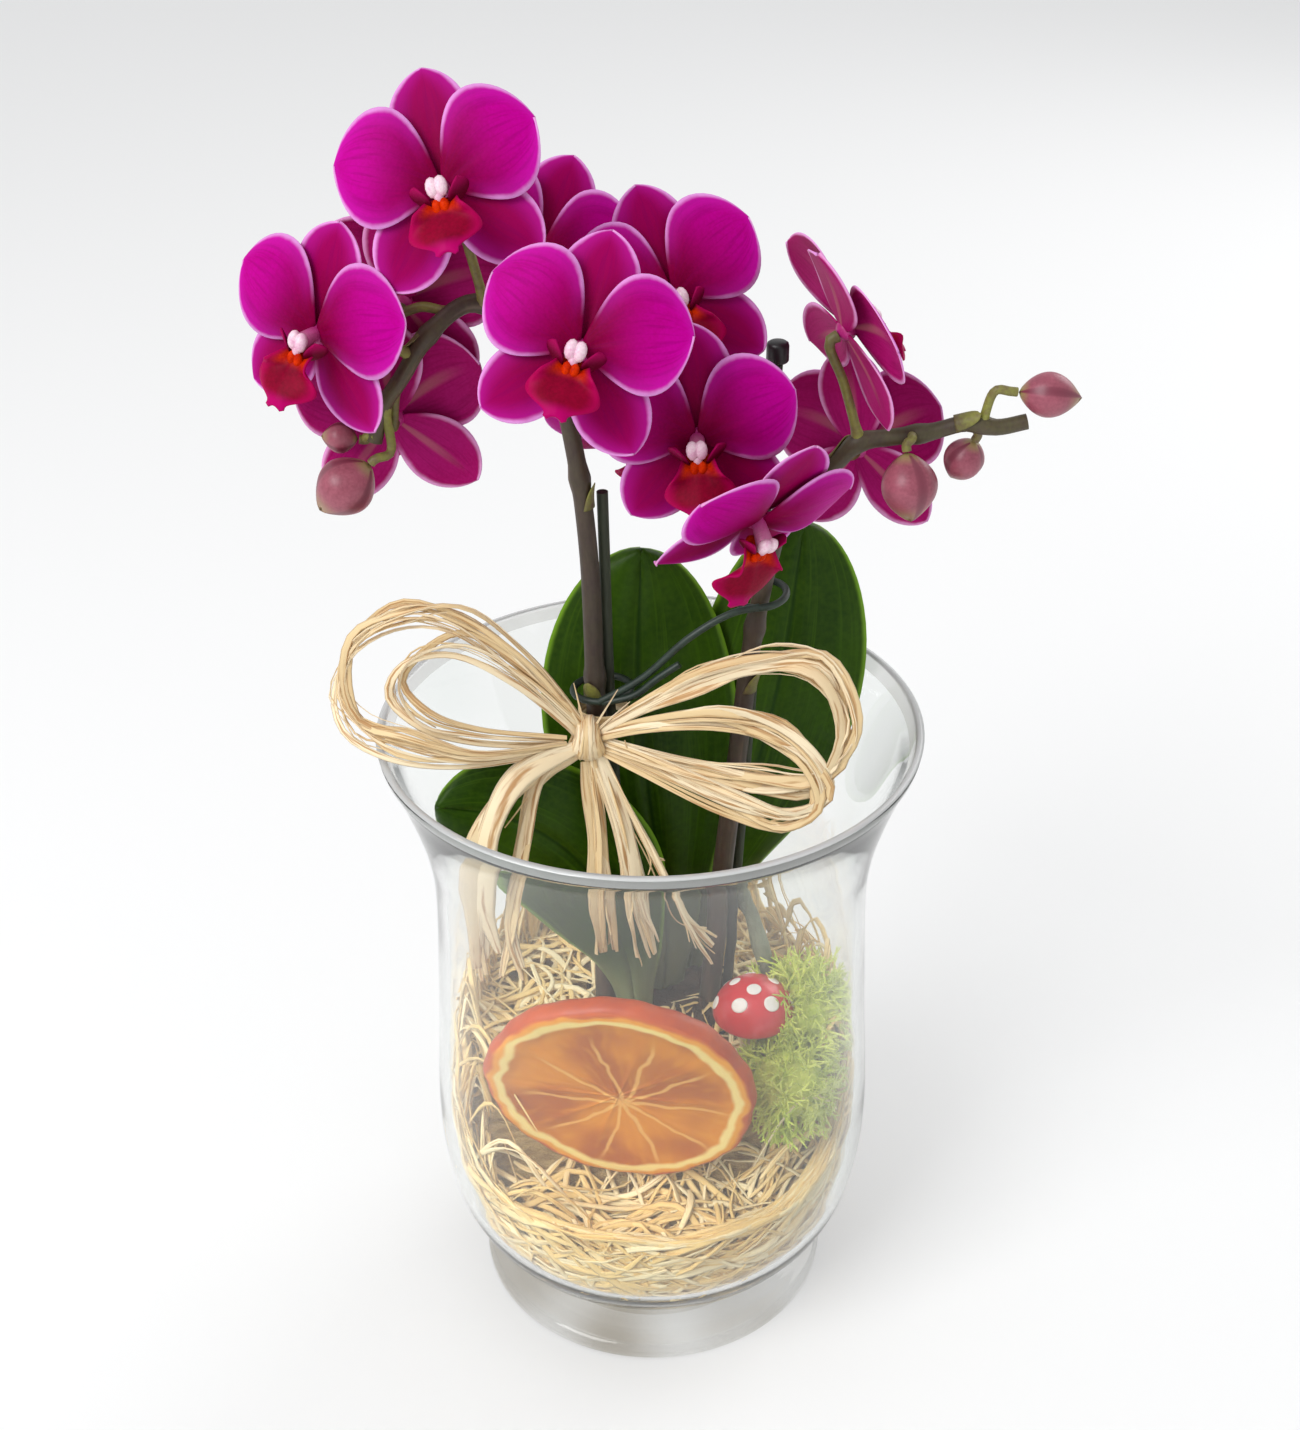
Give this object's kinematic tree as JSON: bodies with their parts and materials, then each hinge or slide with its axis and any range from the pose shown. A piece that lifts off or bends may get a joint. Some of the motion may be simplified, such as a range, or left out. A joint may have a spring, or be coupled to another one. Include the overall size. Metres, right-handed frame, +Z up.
{
  "type": "moth orchid in vase",
  "caption": "Small flowering moth orchid on staked spikes in a footed bell-mouthed glass vase, dressed with straw, moss, a dried orange slice, a toadstool and a raffia bow.",
  "frame": {"origin": "centre of the vase foot's underside, on the vase axis", "axes": "+Z up along the vase axis, -Y towards the front with the orange slice and the bow, +X to the right seen from the front"},
  "size_m": [0.1939, 0.1408, 0.3464],
  "materials": {
    "clear_glass": "clear polished glass with a faint grey-green tint",
    "dried_orange": "translucent dried orange flesh with pale membranes and a darker rind",
    "toadstool_stem": "cream paint, slightly rough",
    "toadstool_cap": "glossy red paint with white dots",
    "spike": "smooth dark brown-purple stem",
    "petal": "soft magenta petals, darker to the heart, with a pale edge",
    "lip": "waxy dark crimson with an orange-red callus",
    "bud": "waxy dusky pink, greener to the tip",
    "stake": "dark green dyed stick, matt",
    "stake_cap": "black, slightly shiny",
    "leaf": "waxy deep green with a paler edge",
    "bark": "rough brown bark chips",
    "aerial_root": "grey-green spongy skin",
    "straw": "pale yellow wood wool",
    "moss": "soft yellow-green reindeer moss",
    "wire": "dark green covered wire",
    "raffia": "dry natural raffia, slightly shiny along the fibre"
  },
  "bodies": {
    "root": {"vase": "clear_glass", "orange_slice": "dried_orange", "toadstool_stem": "toadstool_stem", "toadstool_cap": "toadstool_cap", "spike_left": "spike", "spike_right": "spike", "bloom_top_left_petals": "petal", "bloom_top_left_lip": "lip", "bloom_far_left_petals": "petal", "bloom_far_left_lip": "lip", "bloom_front_petals": "petal", "bloom_front_lip": "lip", "bloom_right_of_front_petals": "petal", "bloom_right_of_front_lip": "lip", "bloom_behind_top_petals": "petal", "bloom_behind_top_lip": "lip", "bloom_behind_left_petals": "petal", "bloom_behind_left_lip": "lip", "bloom_low_left_petals": "petal", "bloom_low_left_lip": "lip", "bloom_centre_back_petals": "petal", "bloom_centre_back_lip": "lip", "bloom_centre_right_petals": "petal", "bloom_centre_right_lip": "lip", "bloom_low_right_petals": "petal", "bloom_low_right_lip": "lip", "bloom_right_back_view_petals": "petal", "bloom_right_back_view_lip": "lip", "bloom_behind_right_petals": "petal", "bloom_behind_right_lip": "lip", "bud_right_end": "bud", "bud_right_second": "bud", "bud_right_third": "bud", "bud_left_large": "bud", "bud_left_small": "bud", "stake_left": "stake", "stake_right": "stake", "stake_right_cap": "stake_cap", "leaf_centre": "leaf", "leaf_right": "leaf", "leaf_left": "leaf", "root_ball": "bark", "aerial_root": "aerial_root", "straw": "straw", "moss": "moss", "wire_tie": "wire", "raffia_bow": "raffia"}
  },
  "joints": []
}
